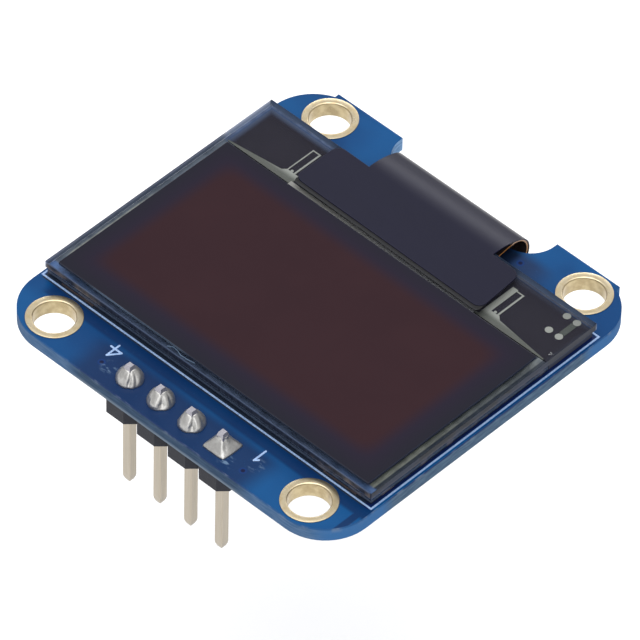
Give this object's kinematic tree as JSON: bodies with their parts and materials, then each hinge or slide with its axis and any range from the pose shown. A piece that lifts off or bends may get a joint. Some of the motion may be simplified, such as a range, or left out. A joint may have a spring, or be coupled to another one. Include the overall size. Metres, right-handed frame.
{
  "type": "small display module",
  "caption": "Small square blue circuit board with a glass display panel, a folded flexible circuit through an edge notch, a pin header and plated corner holes.",
  "frame": {"origin": "centre of the four mounting holes, on the board's lower face", "axes": "+X along the pin header, +Y towards the notched edge, +Z out of the screen"},
  "size_m": [0.0274, 0.0274, 0.0099],
  "materials": {
    "solder_mask": "glossy blue solder mask over copper",
    "gold": "pale gold plating",
    "header_plastic": "moulded black plastic",
    "pin_metal": "plated pins, warm grey",
    "solder": "smooth bright solder",
    "display_glass": "clear glass with ground edges",
    "polarizer": "dark polarizing film, glossy",
    "cap_glass": "clear glass with a hollow",
    "seal_bead": "cured glue line",
    "drying_sheet": "white drying sheet",
    "display_layer": "unlit organic layer, dark maroon",
    "thin_metal": "thin metal on glass",
    "driver_chip": "bare silicon",
    "black_film": "black film with a soft sheen",
    "mount_tape": "amber double-sided tape",
    "white_print": "printed ink",
    "flex_film": "golden-brown polyimide film",
    "moulding": "moulded black resin",
    "capacitor_ceramic": "tan ceramic with metal ends",
    "resistor_coat": "black coat with metal ends"
  },
  "bodies": {
    "root": {"pcb": "solder_mask", "ring_front_left": "gold", "ring_front_right": "gold", "ring_back_left": "gold", "ring_back_right": "gold", "header_body": "header_plastic", "header_pin_1": "pin_metal", "header_pin_2": "pin_metal", "header_pin_3": "pin_metal", "header_pin_4": "pin_metal", "solder_pin_1": "solder", "solder_pin_2": "solder", "solder_pin_3": "solder", "solder_pin_4": "solder", "display_glass": "display_glass", "polarizer": "polarizer", "cap_glass": "cap_glass", "seal_bead": "seal_bead", "drying_sheet": "drying_sheet", "display_layer": "display_layer", "cathode_film": "thin_metal", "ledge_contacts": "thin_metal", "driver_chip": "driver_chip", "ledge_foam": "black_film", "mount_tape_left": "mount_tape", "mount_tape_right": "mount_tape", "outline_print": "white_print", "flex_cable": "flex_film", "flex_solder": "solder", "black_tape": "black_film", "regulator_body": "moulding", "regulator_legs": "pin_metal", "diode_1": "moulding", "chip_solder": "solder", "capacitor_1": "capacitor_ceramic", "capacitor_2": "capacitor_ceramic", "capacitor_3": "capacitor_ceramic", "capacitor_4": "capacitor_ceramic", "capacitor_5": "capacitor_ceramic", "capacitor_6": "capacitor_ceramic", "resistor_1": "resistor_coat", "resistor_2": "resistor_coat", "resistor_3": "resistor_coat", "resistor_4": "resistor_coat", "resistor_5": "resistor_coat"}
  },
  "joints": []
}
